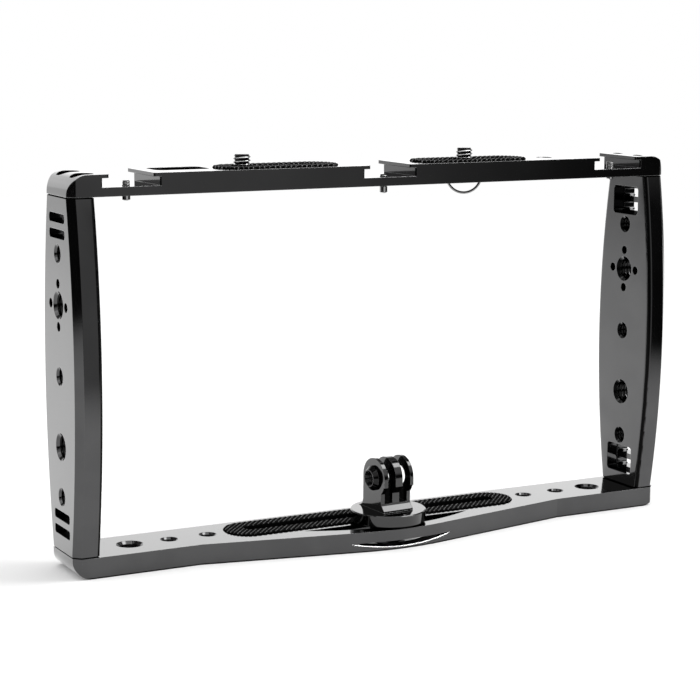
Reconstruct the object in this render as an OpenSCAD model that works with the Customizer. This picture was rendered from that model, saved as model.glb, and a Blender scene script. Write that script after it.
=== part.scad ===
// Dual handle camera tray: a rectangular metal frame of two bars and two bowed handles.
// Millimetres, Z up. X runs from handle to handle, Y from the front (-) to the rear (+).
// Origin: middle of the frame in plan, on the underside of the bottom bar.

/* [Frame] */
// Overall width across the two handles
frame_w = 250; // [244:1:300]
// Clear height between the two bars
window_h = 126.8; // [124:0.2:150]
// Depth of each bar at its ends, front to rear
bar_d = 24.8; // [24.6:0.1:26]
// Thickness of the top bar
top_bar_t = 7.7; // [7.5:0.1:9]
// Thickness of the bottom bar
bottom_bar_t = 7.5; // [7.3:0.1:9]
// Rounding of the upper corners, seen from the front
top_corner_r = 7; // [5:0.1:7.2]
// Rounding of the lower corners, seen from the front
bottom_corner_r = 6.2; // [4:0.2:7]
// Flat break on the outer upright edges
edge_chamfer = 2.6; // [1:0.1:3]

/* [Handles] */
// Thickness of each handle
handle_t = 9.75; // [9.5:0.05:11]
// Depth of each handle where it meets the bars
handle_end_d = 24; // [23.6:0.1:24.4]
// Depth of each handle at mid height
handle_mid_d = 34.7; // [30:0.1:38]
// Rounding on the inner upright edges of the handles
inner_round = 1.8; // [1:0.1:3]
// Width and depth of the fine step round each end of a handle
end_step = 0.4; // [0.2:0.05:0.6]
// Distance of the two outer small holes from mid height
small_hole_z = 43.25; // [40:0.25:44]
// Distance of the large holes from mid height
large_hole_z = 25.2; // [22:0.2:28]
// Circle of the four locating holes round the upper large hole
locating_pcd = 15.12; // [14.5:0.02:16]
// Diameter of a locating hole
locating_d = 3.4; // [2.5:0.1:3.5]

/* [Strap slots] */
// Distance from mid height to the middle of each pair of slots
strap_z = 52.93; // [51.5:0.01:54]
// Distance between the two slots of a pair
strap_pitch = 5.56; // [5.3:0.02:6]
// Height of one slot
strap_h = 3.3; // [2.5:0.1:3.6]
// Length of one slot, front to rear
strap_w = 15.2; // [12:0.1:15.6]
// Height of the pocket behind a pair of slots
pocket_h = 11.2; // [10.6:0.1:11.6]
// Length of the pocket, front to rear
pocket_w = 16.2; // [16:0.1:17]
// Depth of the pocket
pocket_depth = 5; // [4:0.1:6]

/* [Threaded holes] */
// Radius of the small threaded hole below its thread
small_r = 2.6; // [2.4:0.05:2.8]
// Radius of the small hole's countersunk mouth
small_mouth_r = 3.35; // [3:0.05:3.6]
// Radius of the large threaded hole below its thread
large_r = 4; // [3.8:0.05:4.2]
// Radius of the large hole's countersunk mouth
large_mouth_r = 5; // [4.6:0.05:5.2]
// Distance of the bottom bar's outer hole from the bar's end
outer_hole_in = 25.3; // [24:0.1:28]
// Distance of the bottom bar's middle hole from the bar's end
middle_hole_in = 40.7; // [40:0.1:42]
// Distance of the bottom bar's inner hole from the bar's end
inner_hole_in = 56; // [54:0.1:57]
// Distance of the top bar's spare hole from the bar's end
spare_hole_in = 49.5; // [47:0.1:52]

/* [Shoe channels] */
// Distance of an outer shoe channel from the bar's end
shoe_in = 23; // [22:0.1:25]
// Width of a shoe channel between its walls
shoe_w = 21.3; // [20:0.1:22]
// Width of the opening between the lips
shoe_open_w = 16.6; // [14:0.1:17]
// Flat break on the upright edges of the channels
shoe_break = 0.5; // [0.2:0.05:0.6]
// Height of the channel below the lips
shoe_h = 3.2; // [2.8:0.1:3.4]
// Height of the bar below the channel
shoe_floor_t = 3.2; // [2.6:0.1:3.4]
// Distance of a lock screw in front of the middle line
lock_y = 7; // [6:0.1:8]
// Diameter of a lock screw
lock_d = 2.9; // [2.5:0.1:3.5]
// Length of a lock screw
lock_len = 7; // [6:0.1:7.4]
// How far the left lock screw stands above the channel floor
lock_up_left = 1.8; // [0.5:0.1:2.6]
// How far the centre lock screw stands above the channel floor
lock_up_centre = 0.8; // [0.5:0.1:2.6]
// How far the right lock screw stands above the channel floor
lock_up_right = 2.6; // [0.5:0.1:2.7]

/* [Strap window] */
// Distance of the top bar's strap slot from the bar's end
bar_slot_in = 47; // [46:0.1:48]
// Distance of the strap slot behind the middle line
bar_slot_y = 3.6; // [2:0.1:4]
// Length of the strap slot along the bar
bar_slot_w = 21; // [16:0.1:21.4]
// Width of the strap slot, front to rear
bar_slot_d = 13.4; // [8:0.1:13.6]
// Rounding of the strap slot's corners
bar_slot_r = 3.4; // [1:0.1:3.8]

/* [Pads] */
// Length of a camera pad
camera_pad_l = 48.8; // [46:0.2:52]
// Distance of each camera pad from the middle
camera_pad_x = 40.9; // [39.5:0.1:41.5]
// Width of a pad
pad_w = 18.2; // [16:0.2:18.6]
// Height a pad stands above its bar
pad_proud = 0.7; // [0.4:0.1:1.2]
// Depth of the recess that holds a pad
pad_recess = 1; // [0.8:0.1:1.2]
// Gap round a pad in its recess
pad_gap = 0.2; // [0.1:0.05:0.4]
// Length of the tray pad
tray_pad_l = 123.4; // [116:0.2:126]
// Width of the slot in a pad
pad_slot_w = 5.8; // [5.6:0.1:6.2]
// Width of the slot in a bar
bar_screw_slot_w = 6.7; // [6.5:0.1:7.2]
// Travel of a camera screw along its slot
camera_travel = 28; // [20:0.5:28]
// Length of the slot in the tray pad
tray_slot_l = 108; // [90:1:110]

/* [Camera screws] */
// Diameter of the camera screw's thread
screw_d = 6.35; // [6.3:0.05:6.4]
// Diameter of the smooth neck below the thread
neck_d = 5; // [4.6:0.1:5.2]
// Diameter of the camera screw's head
head_d = 11.2; // [10.4:0.1:11.4]
// Thickness of the head
head_t = 3.3; // [3:0.1:3.4]
// Height of the screw's tip above the pad
screw_tip = 4; // [3:0.1:7]
// Distance of the left camera screw from the middle
left_screw_x = 54.5; // [28:0.5:55]
// Distance of the right camera screw from the middle
right_screw_x = 39; // [28:0.5:55]
// Turn of the right camera screw about its own axis, in degrees
right_screw_turn = -28; // [-90:1:90]
// Width of the channel under the top bar
channel_w = 14.8; // [14.6:0.1:15.2]
// Depth of the channel under the top bar
channel_h = 4.7; // [4.6:0.1:4.8]
// Thickness of the washer on a camera screw
washer_t = 0.8; // [0.6:0.1:0.9]
// Outer diameter of the washer
washer_d = 12.4; // [11.6:0.1:13]
// Radius of a wire ring, to the middle of its wire
ring_r = 6.56; // [6.5:0.02:6.6]
// Diameter of the ring's wire
wire_d = 1; // [0.8:0.05:1]

/* [Bottom bar plan] */
// Distance from the middle to the front edge at the bulge
bulge_y = 25.7; // [24:0.1:28]
// Radius of the nose of the bulge
bulge_r = 87; // [60:1:110]
// Distance from the bar's end to where the bulge begins
bulge_in = 48; // [43:0.5:53]
// Radius where the bulge leaves the straight edge
bulge_fillet_r = 60; // [30:1:80]
// Half length of the crescent slot
crescent_x = 35; // [30:0.5:38]
// Distance from the middle to the crescent's straight edge
crescent_y = 12; // [11.6:0.1:13]
// Thickness of the wall in front of the crescent
crescent_wall = 5.1; // [4:0.1:6]
// Half length of the lens-shaped window in the front wall
lens_x = 21.5; // [14:0.5:23]
// Height of the lens window's straight edge
lens_z = 3.4; // [3.2:0.1:4.5]
// Height of the lens window at its middle
lens_h = 2.25; // [1.5:0.05:2.4]
// Width of the channel under the bottom bar
tray_channel_w = 12.6; // [12:0.1:12.8]
// Depth of the channel under the bottom bar
tray_channel_h = 4; // [3.4:0.1:4.2]

/* [Mount] */
// Distance of the mount in front of the middle line
mount_y = 12.5; // [12.4:0.1:12.8]
// Turn of the mount about its screw, in degrees
mount_turn = 3.5; // [0:0.5:10]
// Radius of the mount's disc
disc_r = 14.25; // [13:0.05:15]
// Thickness of the disc
disc_t = 4.4; // [4:0.1:5]
// Height of the ears' pivot above the bottom of the disc
pivot_h = 16.7; // [16:0.1:19]
// Radius of the ears' heads
ear_r = 7.5; // [7:0.1:8]
// Thickness of the outer ear that holds the nut
ear_a_t = 1.6; // [1.5:0.1:2]
// Thickness of the middle ear
ear_b_t = 3; // [2.8:0.1:3.2]
// Thickness of the far outer ear
ear_c_t = 1.4; // [1.3:0.1:2]
// Gap between neighbouring ears
ear_gap = 3.45; // [3.2:0.05:3.6]
// Radius of the pivot hole in the middle ear
pivot_hole_r = 2.6; // [2.55:0.05:2.9]
// Radius of the pivot hole in the far outer ear
far_hole_r = 3.6; // [2.6:0.1:3.8]
// Radius of the captive nut's flange
nut_r = 4.7; // [4.4:0.1:5]
// How far the captive nut stands out of its ear
nut_out = 2.2; // [1.6:0.1:2.6]
// Radius of the captive nut's hole below its thread
nut_hole_r = 2.1; // [2:0.05:2.3]
// Radius of the captive nut's countersunk mouth
nut_mouth_r = 2.9; // [2.4:0.05:3]

/* [Hidden] */
$fn = 96;
black = "#141416";
rubber = "#1d1d1f";
steel = "#b9bbbd";
// Small overlap that lets one cut run past a face
e = 0.5;
half_w = frame_w / 2;
frame_h = bottom_bar_t + window_h + top_bar_t;
top_z = bottom_bar_t + window_h;
mid_z = bottom_bar_t + window_h / 2;
// Bow of the handles: radius of the arc in side view
bow = (handle_mid_d - handle_end_d) / 2;
bow_r = (window_h * window_h / 4 + bow * bow) / (2 * bow);
bow_a = asin(window_h / 2 / bow_r) + 2;
// Places along the bars, counted from their ends
shoe_x = half_w - shoe_in;
outer_hole_x = half_w - outer_hole_in;
middle_hole_x = half_w - middle_hole_in;
inner_hole_x = half_w - inner_hole_in;
spare_hole_x = half_w - spare_hole_in;
bar_slot_x = half_w - bar_slot_in;
bulge_x = half_w - bulge_in;
// Cap screws at the corners
cap_in = 7;
cap_x = half_w - cap_in;
cap_y = 6.7;
cap_head_r = 3.8;
cap_head_h = 2.8;
cap_seat = 2.4;
cap_shank_r = 1.5;
cap_len = 6.4;
bore_gap = 0.05;
head_gap = 0.3;
// Camera screw levels
roof_z = top_z + channel_h;
washer_top = roof_z - 0.05;
head_top = washer_top - washer_t - 0.05;
pad_top = frame_h + pad_proud;
tray_pad_top = bottom_bar_t + pad_proud;
screw_top = pad_top + screw_tip;
ring_z = head_top - head_t / 2 - 0.4;
camera_slot_l = camera_travel + bar_screw_slot_w;
channel_l = camera_travel + channel_w;
camera_mid = camera_pad_x + 0.5;
// Bulge of the bottom bar: its nose is an arc and its sides are tangent lines
slope = bulge_slope(0.2, 6);
nose_x = bulge_r * sin(atan(slope));
nose_y = -bulge_y + bulge_r - bulge_r * cos(atan(slope));
turn_l = bulge_fillet_r * tan(atan(slope) / 2);
// Crescent and lens arcs
crescent_deep = bulge_y - crescent_wall - crescent_y;
crescent_r = (crescent_x * crescent_x + crescent_deep * crescent_deep) / (2 * crescent_deep);
lens_r = (lens_x * lens_x + lens_h * lens_h) / (2 * lens_h);
// Mount levels
disc_z = tray_pad_top + 0.02;
disc_top = disc_z + disc_t;
pivot_z = disc_z + pivot_h;
ears_w = ear_a_t + ear_b_t + ear_c_t + 2 * ear_gap;
boss_r = 6.4;
boss_top = disc_z - 0.05;
mount_head_r = 4.6;
mount_head_h = 2.6;
mount_seat = 3.4;
// Ear outline, from the pivot
head_drop = 2.7;
neck_y = 5.2;
foot_y = 7.2;
foot_z = disc_t - pivot_h;
root_h = 3;
foot_edge = 0.6;
rear_flare = 3;
spigot_r = nut_r - 1.25;

// Slope of the bulge's sides, so that they reach the straight edge at bulge_x
function bulge_slope(s, n) = n == 0 ? s : bulge_slope(
    (bulge_y - bar_d / 2 - bulge_r * (1 - cos(atan(s)))) / (bulge_x - bulge_r * sin(atan(s))), n - 1);

// A flat shape with round ends, length l and width w, along X
module obround(l, w) {
    square([l - w, w], center = true);
    for (s = [-1, 1]) translate([s * (l - w) / 2, 0]) circle(d = w);
}

// A rectangle with round corners
module round_rect(w, h, r) {
    square([w - 2 * r, h], center = true);
    square([w, h - 2 * r], center = true);
    for (x = [-1, 1], y = [-1, 1]) translate([x * (w / 2 - r), y * (h / 2 - r)]) circle(r = r);
}

// Front view of a bar whose upper corners are round
module bar_front(t, r) {
    translate([-half_w, 0]) square([frame_w, t - r]);
    translate([-half_w + r, 0]) square([frame_w - 2 * r, t]);
    for (s = [-1, 1]) translate([s * (half_w - r), t - r]) circle(r = r);
}

// Bar with its front view, from y0 to y1
module bar_slab(t, r, y0, y1) {
    translate([0, y1, 0]) rotate([90, 0, 0]) linear_extrude(y1 - y0) intersection() {
        bar_front(t, r);
        translate([-half_w, 0]) square([frame_w, t]);
    }
}

// Plan of a bar's ends, with broken corners
module bar_plan() {
    polygon([[-half_w, -bar_d / 2 + edge_chamfer], [-half_w + edge_chamfer, -bar_d / 2],
        [half_w - edge_chamfer, -bar_d / 2], [half_w, -bar_d / 2 + edge_chamfer],
        [half_w, bar_d / 2 - edge_chamfer], [half_w - edge_chamfer, bar_d / 2],
        [-half_w + edge_chamfer, bar_d / 2], [-half_w, bar_d / 2 - edge_chamfer]]);
}

// Threaded hole along Z from z = 0 to t, countersunk at both mouths
module threaded_hole(r, mouth, t) {
    translate([0, 0, -e]) cylinder(r = r, h = t + 2 * e);
    translate([0, 0, -e]) cylinder(r1 = mouth + e, r2 = r - e, h = mouth - r + 2 * e);
    translate([0, 0, t - mouth + r - e]) cylinder(r1 = r - e, r2 = mouth + e, h = mouth - r + 2 * e);
}

// Seat of a cap screw: shank hole and counterbore, the head's side up
module cap_seat_cut(t) {
    translate([0, 0, -e]) cylinder(r = cap_shank_r + 0.25, h = t + 2 * e);
    translate([0, 0, cap_seat]) cylinder(r = cap_head_r + head_gap, h = t);
}

// Low cap screw, underside of the head at z = 0, head up
module cap_screw() {
    difference() {
        union() {
            cylinder(r = cap_head_r, h = cap_head_h);
            translate([0, 0, -cap_len]) cylinder(r = cap_shank_r, h = cap_len + 0.2);
        }
        translate([0, 0, cap_head_h - 1.6]) linear_extrude(2) circle(r = 1.45, $fn = 6);
    }
}

// Shoe channel, cut from front to rear
module shoe_cut() {
    translate([0, bar_d, 0]) rotate([90, 0, 0]) linear_extrude(2 * bar_d) {
        translate([-shoe_w / 2, shoe_floor_t]) square([shoe_w, shoe_h]);
        translate([-shoe_open_w / 2, shoe_floor_t]) square([shoe_open_w, top_bar_t]);
    }
    translate([0, 0, shoe_floor_t]) {
        edge_breaks(shoe_w / 2, shoe_h);
        edge_breaks(shoe_open_w / 2, top_bar_t);
    }
}

// Breaks on the four upright edges where a channel of half width w meets the bar's faces
module edge_breaks(w, h) {
    for (x = [-1, 1], y = [-1, 1]) linear_extrude(h) polygon([[x * (w - e), y * (bar_d / 2 + e)],
        [x * (w - e), y * (bar_d / 2 - shoe_break - e)], [x * w, y * (bar_d / 2 - shoe_break)],
        [x * (w + shoe_break + e), y * (bar_d / 2 + e)]]);
}

module top_bar() {
    color(black) translate([0, 0, top_z]) difference() {
        intersection() {
            bar_slab(top_bar_t, top_corner_r, -bar_d / 2, bar_d / 2);
            linear_extrude(top_bar_t) bar_plan();
        }
        for (x = [-shoe_x, 0, shoe_x]) {
            translate([x, 0, 0]) shoe_cut();
            translate([x, -lock_y, -e]) cylinder(d = lock_d + 2 * bore_gap, h = shoe_floor_t + 2 * e);
        }
        for (s = [-1, 1]) {
            translate([s * camera_pad_x, 0, top_bar_t - pad_recess]) linear_extrude(5)
                obround(camera_pad_l + 2 * pad_gap, pad_w + 2 * pad_gap);
            translate([s * camera_mid, 0, -e]) linear_extrude(20) obround(camera_slot_l, bar_screw_slot_w);
            translate([s * camera_mid, 0, -e]) linear_extrude(channel_h + e) obround(channel_l, channel_w);
        }
        translate([-bar_slot_x, bar_slot_y, -e]) linear_extrude(20)
            round_rect(bar_slot_w, bar_slot_d, bar_slot_r);
        translate([spare_hole_x, 0, 0]) threaded_hole(small_r, small_mouth_r, top_bar_t);
        for (x = [-1, 1], y = [-1, 1]) translate([x * cap_x, y * cap_y, 0]) cap_seat_cut(top_bar_t);
    }
}

// Plan of the forward bulge between the straight ends
module bulge_plan() {
    polygon([[-bulge_x, -bar_d / 2], [-nose_x, nose_y], [nose_x, nose_y], [bulge_x, -bar_d / 2],
        [bulge_x, 0], [-bulge_x, 0]]);
    intersection() {
        translate([0, bulge_r - bulge_y]) circle(r = bulge_r, $fn = 360);
        translate([-nose_x, -bulge_y - e]) square([2 * nose_x, bulge_y]);
    }
    for (s = [-1, 1]) difference() {
        polygon([[s * (bulge_x + turn_l), -bar_d / 2], [s * (bulge_x + turn_l), 0], [s * bulge_x, 0],
            [s * (bulge_x - turn_l * cos(atan(slope))), 0],
            [s * (bulge_x - turn_l * cos(atan(slope))), -bar_d / 2 - turn_l * sin(atan(slope))],
            [s * bulge_x, -bar_d / 2]]);
        translate([s * (bulge_x + turn_l), -bar_d / 2 - bulge_fillet_r]) circle(r = bulge_fillet_r, $fn = 360);
    }
}

module bottom_bar() {
    color(black) difference() {
        union() {
            difference() {
                intersection() {
                    translate([0, 0, bottom_bar_t]) mirror([0, 0, 1])
                        bar_slab(bottom_bar_t, bottom_corner_r, -bulge_y - e, bar_d / 2);
                    linear_extrude(bottom_bar_t) {
                        bar_plan();
                        bulge_plan();
                    }
                }
                // Crescent slot, cut straight down
                translate([0, 0, -e]) linear_extrude(20) crescent();
                // Lens window through the wall in front of it
                translate([0, -crescent_y - 1, 0]) rotate([90, 0, 0]) linear_extrude(20) intersection() {
                    translate([0, lens_z - lens_h + lens_r]) circle(r = lens_r, $fn = 360);
                    translate([-lens_x, 0]) square([2 * lens_x, lens_z]);
                }
            }
            // Boss that carries the mount, standing in the crescent's middle
            translate([0, -mount_y, 0]) cylinder(r = boss_r, h = boss_top);
        }
        translate([0, 0, bottom_bar_t - pad_recess]) difference() {
            linear_extrude(5) obround(tray_pad_l + 2 * pad_gap, pad_w + 2 * pad_gap);
            translate([0, -mount_y, -e]) cylinder(r = boss_r, h = 10);
        }
        translate([0, 0, -e]) linear_extrude(20) obround(tray_slot_l, bar_screw_slot_w);
        translate([0, 0, -e]) linear_extrude(tray_channel_h + e)
            obround(tray_slot_l + 6, tray_channel_w);
        for (s = [-1, 1]) {
            translate([s * outer_hole_x, 0, 0]) threaded_hole(large_r, large_mouth_r, bottom_bar_t);
            translate([s * middle_hole_x, 0, 0]) threaded_hole(small_r, small_mouth_r, bottom_bar_t);
            translate([s * inner_hole_x, 0, 0]) threaded_hole(small_r, small_mouth_r, bottom_bar_t);
        }
        for (x = [-1, 1], y = [-1, 1]) translate([x * cap_x, y * cap_y, bottom_bar_t])
            mirror([0, 0, 1]) cap_seat_cut(bottom_bar_t);
        translate([0, -mount_y, -e]) cylinder(r = screw_d / 2 + bore_gap, h = 20);
        translate([0, -mount_y, -e]) cylinder(r = mount_head_r + head_gap, h = mount_seat + e);
    }
}

// Plan of the crescent slot: a straight rear edge and an arched front edge
module crescent() {
    intersection() {
        translate([0, crescent_r - crescent_y - crescent_deep]) circle(r = crescent_r, $fn = 360);
        translate([-crescent_x, -crescent_y - crescent_deep - e])
            square([2 * crescent_x, crescent_deep + e]);
    }
}

// Half section of a handle: broken edge outside, rounded edge inside
module handle_section() {
    difference() {
        polygon([[bow_r - handle_mid_d, 0], [bow_r - edge_chamfer, 0], [bow_r, edge_chamfer],
            [bow_r, handle_t], [bow_r - handle_mid_d, handle_t]]);
        difference() {
            translate([bow_r - inner_round, handle_t - inner_round]) square(inner_round + 1);
            translate([bow_r - inner_round, handle_t - inner_round]) circle(r = inner_round);
        }
    }
}

// Bowed face: the section swept along the front arc
module bowed() {
    translate([0, bow_r - handle_mid_d / 2, 0]) rotate([0, 90, 0]) rotate([0, 0, -90 - bow_a])
        rotate_extrude(angle = 2 * bow_a, $fn = 1440) handle_section();
}

// Plan of a handle's end inside its fine step
module handle_end_plan() {
    h = handle_end_d / 2;
    k = edge_chamfer + (sqrt(2) - 1) * end_step;
    difference() {
        polygon([[end_step, k - h], [k, end_step - h], [handle_t - end_step, end_step - h],
            [handle_t - end_step, h - end_step], [k, h - end_step], [end_step, h - k]]);
        for (s = [0, 1]) mirror([0, s]) difference() {
            translate([handle_t - inner_round, h - inner_round]) square(inner_round);
            translate([handle_t - inner_round, h - inner_round]) circle(r = inner_round - end_step);
        }
    }
}

// Left handle with its middle at z = 0 and its outer face at x = 0
module handle() {
    difference() {
        intersection() {
            bowed();
            mirror([0, 1, 0]) bowed();
            translate([-e, -handle_mid_d, -window_h / 2]) cube([handle_t + 2 * e, 2 * handle_mid_d, window_h]);
        }
        rotate([0, 90, 0]) {
            for (z = [-small_hole_z, 0, small_hole_z]) translate([z, 0, 0])
                threaded_hole(small_r, small_mouth_r, handle_t);
            for (z = [-large_hole_z, large_hole_z]) translate([z, 0, 0])
                threaded_hole(large_r, large_mouth_r, handle_t);
            for (a = [0:90:270]) translate([-large_hole_z, 0, -e]) rotate([0, 0, a])
                translate([locating_pcd / 2, 0, 0]) cylinder(d = locating_d, h = handle_t + 2 * e);
        }
        for (s = [-1, 1]) translate([0, 0, s * strap_z]) {
            for (t = [-1, 1]) translate([-e, 0, t * strap_pitch / 2]) rotate([90, 0, 90])
                linear_extrude(handle_t) round_rect(strap_w, strap_h, 1.1);
            translate([handle_t - pocket_depth, 0, 0]) rotate([90, 0, 90])
                linear_extrude(handle_t) round_rect(pocket_w, pocket_h, 1.5);
        }
        for (s = [0, 1]) mirror([0, 0, s]) translate([0, 0, window_h / 2 - end_step])
            linear_extrude(end_step + e) difference() {
                translate([-e, -handle_mid_d]) square([handle_t + 2 * e, 2 * handle_mid_d]);
                handle_end_plan();
            }
        for (z = [-1, 1], y = [-1, 1]) translate([cap_in, y * cap_y, z * window_h / 2])
            cylinder(r = cap_shank_r + bore_gap, h = 2 * (cap_len - cap_seat + 0.3), center = true);
    }
}

module left_handle() {
    color(black) translate([-half_w, 0, mid_z]) handle();
}

module right_handle() {
    color(black) mirror([1, 0, 0]) translate([-half_w, 0, mid_z]) handle();
}

// Camera pad with its slot, lying in its recess
module camera_pad(s) {
    color(rubber) difference() {
        translate([s * camera_pad_x, 0, frame_h - pad_recess]) linear_extrude(pad_recess + pad_proud)
            obround(camera_pad_l, pad_w);
        translate([s * camera_mid, 0, frame_h - pad_recess - e]) linear_extrude(10)
            obround(camera_slot_l, pad_slot_w);
    }
}

module left_camera_pad() {
    camera_pad(-1);
}

module right_camera_pad() {
    camera_pad(1);
}

module tray_pad() {
    color(rubber) difference() {
        translate([0, 0, bottom_bar_t - pad_recess]) linear_extrude(pad_recess + pad_proud)
            obround(tray_pad_l, pad_w);
        translate([0, 0, -e]) linear_extrude(30) obround(tray_slot_l, pad_slot_w);
        translate([0, -mount_y, -e]) cylinder(r = boss_r + 0.3, h = 30);
    }
}

module top_bar_screws() {
    color(black) for (x = [-1, 1], y = [-1, 1])
        translate([x * cap_x, y * cap_y, top_z + cap_seat]) cap_screw();
}

module bottom_bar_screws() {
    color(black) for (x = [-1, 1], y = [-1, 1])
        translate([x * cap_x, y * cap_y, bottom_bar_t - cap_seat]) mirror([0, 0, 1]) cap_screw();
}

// Lock screw of a shoe channel, its hexagon socket below
module lock_screw(x, up) {
    color(steel) translate([x, -lock_y, top_z + shoe_floor_t + up - lock_len]) difference() {
        rotate_extrude() polygon([[0, 0], [lock_d / 2 - 0.3, 0], [lock_d / 2, 0.3],
            [lock_d / 2, lock_len - 0.3], [lock_d / 2 - 0.3, lock_len], [0, lock_len]]);
        translate([0, 0, -e]) linear_extrude(2 + e) circle(r = 0.87, $fn = 6);
    }
}

module left_lock_screw() {
    lock_screw(-shoe_x, lock_up_left);
}

module centre_lock_screw() {
    lock_screw(0, lock_up_centre);
}

module right_lock_screw() {
    lock_screw(shoe_x, lock_up_right);
}

module screw_washer(x) {
    color(steel) translate([x, 0, washer_top - washer_t]) difference() {
        cylinder(d = washer_d, h = washer_t);
        translate([0, 0, -e]) cylinder(d = neck_d + 2 * bore_gap, h = 2);
    }
}

module left_screw_washer() {
    screw_washer(-left_screw_x);
}

module right_screw_washer() {
    screw_washer(right_screw_x);
}

// Camera screw: head with a coin slot and a cross hole, smooth neck, threaded tip
module camera_screw(x, turn) {
    color(steel) translate([x, 0, 0]) rotate([0, 0, turn]) difference() {
        rotate_extrude() polygon([[0, head_top - head_t], [head_d / 2 - 0.3, head_top - head_t],
            [head_d / 2, head_top - head_t + 0.3], [head_d / 2, head_top - 0.3],
            [head_d / 2 - 0.3, head_top], [neck_d / 2, head_top], [neck_d / 2, pad_top + 0.1],
            [screw_d / 2, pad_top + 0.1], [screw_d / 2, screw_top - 0.6],
            [screw_d / 2 - 0.6, screw_top], [0, screw_top]]);
        for (s = [-1, 1]) translate([s * (head_d / 2 - 1.6), 0, ring_z]) rotate([0, s * 90, 0])
            cylinder(d = wire_d + 2 * bore_gap, h = 3);
        translate([-0.6, -10, head_top - head_t - e]) cube([1.2, 20, 0.8 + e]);
    }
}

module left_camera_screw() {
    camera_screw(-left_screw_x, 0);
}

module right_camera_screw() {
    camera_screw(right_screw_x, right_screw_turn);
}

// Wire ring: half a circle, with two ends that turn in the head's cross hole
module wire_ring() {
    rotate([90, 0, 0]) rotate([0, 0, 180]) rotate_extrude(angle = 180) translate([ring_r, 0])
        circle(d = wire_d, $fn = 32);
    for (s = [-1, 1]) translate([s * (head_d / 2 - 1.4), 0, 0]) rotate([0, s * 90, 0])
        cylinder(d = wire_d, h = ring_r - head_d / 2 + 1.4);
}

module left_screw_ring() {
    color(steel) translate([-left_screw_x, 0, ring_z]) rotate([-90, 0, 0]) wire_ring();
}

module right_screw_ring() {
    color(steel) translate([right_screw_x, 0, ring_z]) rotate([0, 0, right_screw_turn]) wire_ring();
}

// Side view of an ear, drawn in [y, z] from the pivot: round head, neck undercut in front
module ear_side() {
    circle(r = ear_r);
    translate([-ear_r, -head_drop]) square([2 * ear_r, head_drop]);
    translate([-neck_y, foot_z - 0.4]) square([neck_y + ear_r, 0.4 - foot_z]);
    // Hollow under the head
    difference() {
        translate([-ear_r, -head_drop - ear_r + neck_y]) square([ear_r - neck_y, ear_r - neck_y]);
        translate([-ear_r, -head_drop - ear_r + neck_y]) circle(r = ear_r - neck_y);
    }
}

// Flared root of the three ears: a low foot with a sloped face in front and a hollow fillet behind
module ear_root() {
    difference() {
        translate([-foot_y, foot_z - 0.4]) square([foot_y + ear_r + rear_flare, root_h + 0.4]);
        polygon([[-foot_y - 1, foot_z + root_h + 1], [-foot_y - 1, foot_z + foot_edge],
            [-foot_y, foot_z + foot_edge], [-neck_y - 0.4, foot_z + root_h - 0.6],
            [-neck_y, foot_z + root_h], [-neck_y, foot_z + root_h + 1]]);
        translate([ear_r + rear_flare, foot_z + root_h]) circle(r = rear_flare - 0.1);
    }
}

module mount_body() {
    color(black) translate([0, -mount_y, disc_z]) rotate([0, 0, mount_turn]) difference() {
        union() {
            rotate_extrude() polygon([[0, 0], [disc_r - 0.3, 0], [disc_r, 0.3], [disc_r, disc_t - 0.3],
                [disc_r - 0.3, disc_t], [0, disc_t]]);
            translate([-ears_w / 2, 0, pivot_h]) rotate([90, 0, 90]) {
                linear_extrude(ear_a_t) ear_side();
                translate([0, 0, ear_a_t + ear_gap]) linear_extrude(ear_b_t) ear_side();
                translate([0, 0, ears_w - ear_c_t]) linear_extrude(ear_c_t) ear_side();
                linear_extrude(ears_w) ear_root();
            }
        }
        // Pivot holes through the three ears
        translate([-ears_w / 2, 0, pivot_h]) rotate([0, 90, 0]) {
            translate([0, 0, -e]) cylinder(r = spigot_r + bore_gap, h = ear_a_t + 2 * e);
            translate([0, 0, ear_a_t + ear_gap - e]) cylinder(r = pivot_hole_r, h = ear_b_t + 2 * e);
            translate([0, 0, ears_w - ear_c_t - e]) cylinder(r = far_hole_r, h = ear_c_t + 2 * e);
        }
        // Threaded hole for the screw from below
        translate([0, 0, -e]) cylinder(r = screw_d / 2 + bore_gap, h = disc_t + e - 0.3);
    }
}

// Captive nut, pressed into the outer ear
module mount_nut() {
    color(black) translate([0, -mount_y, pivot_z]) rotate([0, 0, mount_turn])
        translate([-ears_w / 2, 0, 0]) rotate([0, -90, 0]) difference() {
            union() {
                rotate_extrude() polygon([[0, 0], [nut_r, 0], [nut_r, 0.8], [nut_r - 1.45, nut_out],
                    [0, nut_out]]);
                translate([0, 0, 0.1 - ear_a_t]) cylinder(r = spigot_r, h = ear_a_t);
            }
            translate([0, 0, -5]) cylinder(r = nut_hole_r, h = 10);
            translate([0, 0, nut_out - nut_mouth_r + nut_hole_r])
                cylinder(r1 = nut_hole_r, r2 = nut_mouth_r + e, h = nut_mouth_r - nut_hole_r + e);
        }
}

// Screw that holds the mount, head down in the bar
module mount_screw() {
    color(steel) translate([0, -mount_y, mount_seat]) difference() {
        union() {
            translate([0, 0, -mount_head_h]) cylinder(r = mount_head_r, h = mount_head_h);
            cylinder(d = screw_d, h = disc_z - mount_seat + 3.6);
        }
        translate([0, 0, -mount_head_h - e]) linear_extrude(1.6 + e) circle(r = 2.3, $fn = 6);
    }
}

top_bar();
bottom_bar();
left_handle();
right_handle();
left_camera_pad();
right_camera_pad();
tray_pad();
top_bar_screws();
bottom_bar_screws();
left_lock_screw();
centre_lock_screw();
right_lock_screw();
left_screw_washer();
left_camera_screw();
left_screw_ring();
right_screw_washer();
right_camera_screw();
right_screw_ring();
mount_body();
mount_nut();
mount_screw();
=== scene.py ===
"""Dual handle camera tray: finishes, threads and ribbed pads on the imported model, and its surroundings.
Objects are in metres, Z up, in the model's own frame. Sizes and places of the tray are in millimetres."""
import math

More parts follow.
